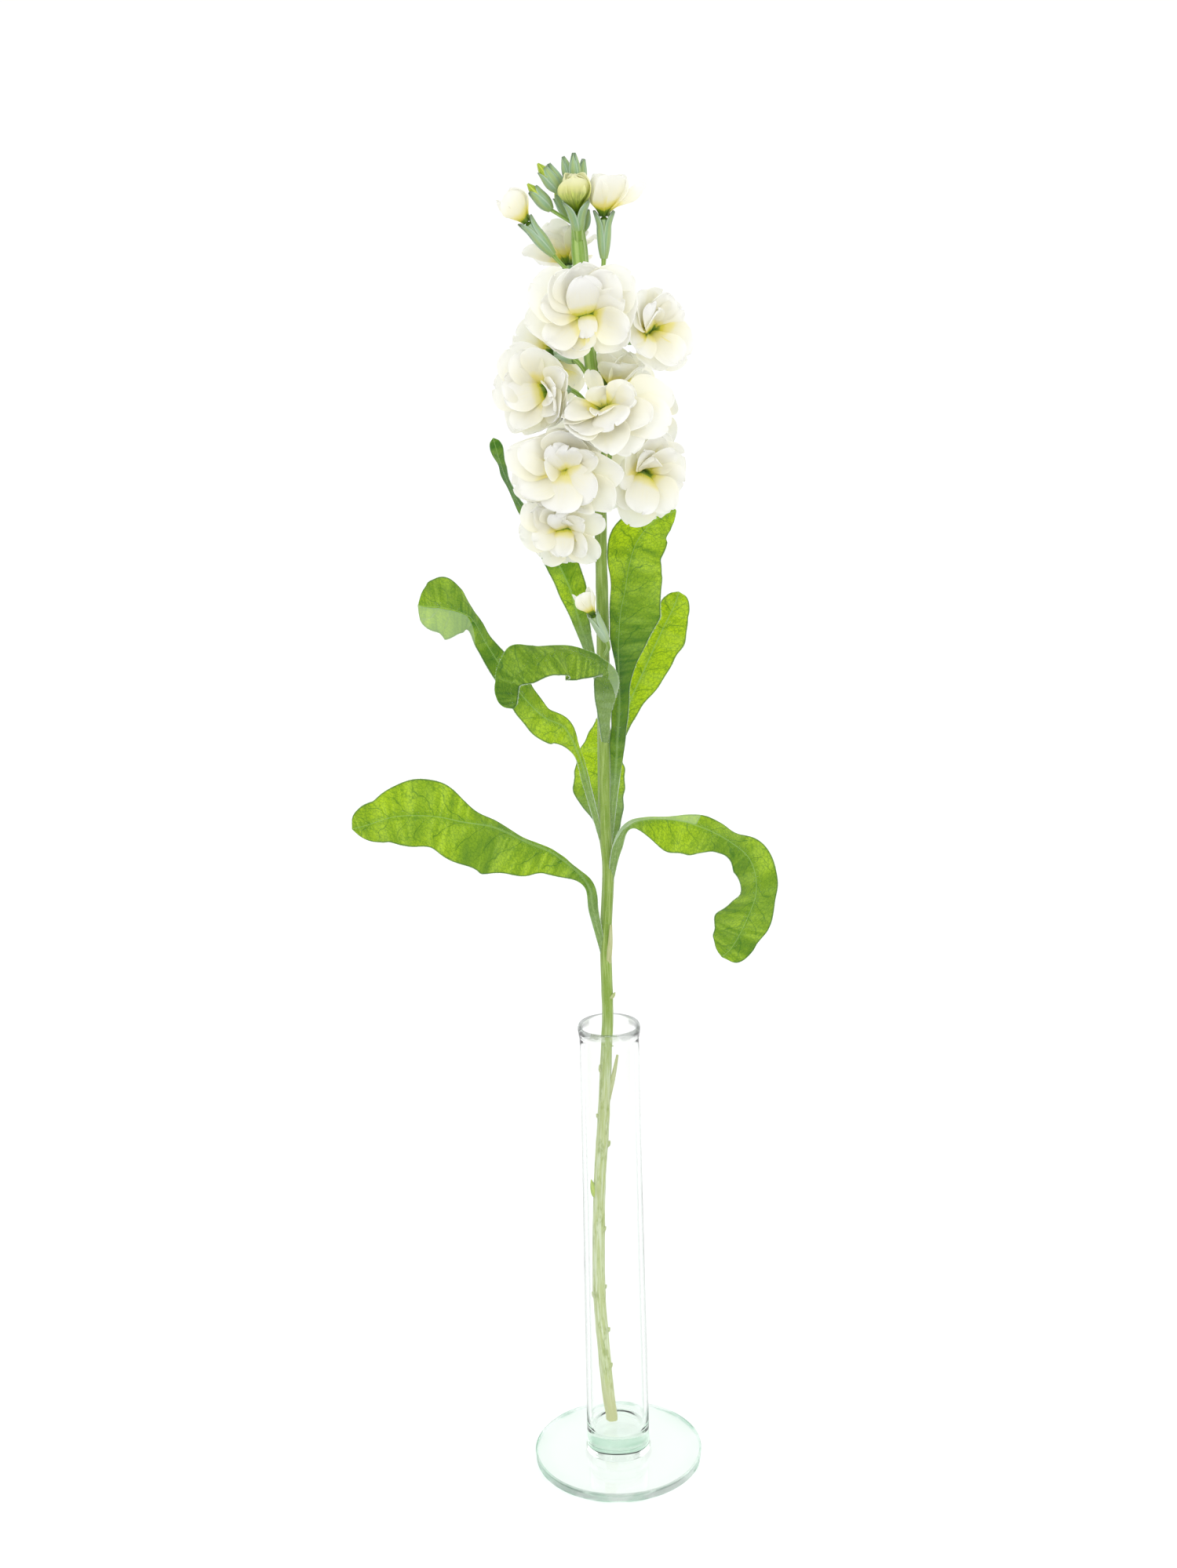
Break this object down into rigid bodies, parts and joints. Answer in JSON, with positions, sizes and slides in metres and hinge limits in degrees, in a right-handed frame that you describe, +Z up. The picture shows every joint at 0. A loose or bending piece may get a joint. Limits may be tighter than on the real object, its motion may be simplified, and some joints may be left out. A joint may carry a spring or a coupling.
{
  "type": "stock flower in vase",
  "caption": "A cut stem of cream-white double stock with green leaves, leaning in a tall clear glass bud vase on a flat disc foot.",
  "frame": {"origin": "centre of the vase's foot at its underside", "axes": "+Z up along the vase's axis; the picture looks along +Y, so the front of the flower faces -Y; +X is to the right in the picture"},
  "size_m": [0.1668, 0.1003, 0.5421],
  "materials": {
    "glass": "clear polished glass with a pale green tint",
    "stem": "fresh green stem, finely ridged",
    "leaf": "soft matt leaf with pale hairs",
    "petal": "thin matt petal, yellow at its foot",
    "petal_young": "thin matt petal, still yellow-green"
  },
  "bodies": {
    "root": {"vase": "glass", "stem": "stem", "leaf_low_left": "leaf", "leaf_low_right": "leaf", "leaf_mid_left": "leaf", "leaf_front": "leaf", "leaf_right_upper": "leaf", "leaf_right_behind": "leaf", "leaf_behind_mid": "leaf", "leaf_behind_upper": "leaf", "bloom_front_top": "petal", "bloom_right_top": "petal", "bloom_left_top": "petal", "bloom_front_mid": "petal", "bloom_left_low": "petal", "bloom_right_low": "petal", "bloom_bottom": "petal", "bloom_back_top": "petal", "bloom_middle": "petal", "bloom_back_left": "petal", "bloom_back_right": "petal", "bloom_back_low": "petal", "opening_bud_left": "petal", "opening_bud_top": "petal_young", "opening_bud_right": "petal", "opening_bud_small": "petal"}
  },
  "joints": []
}
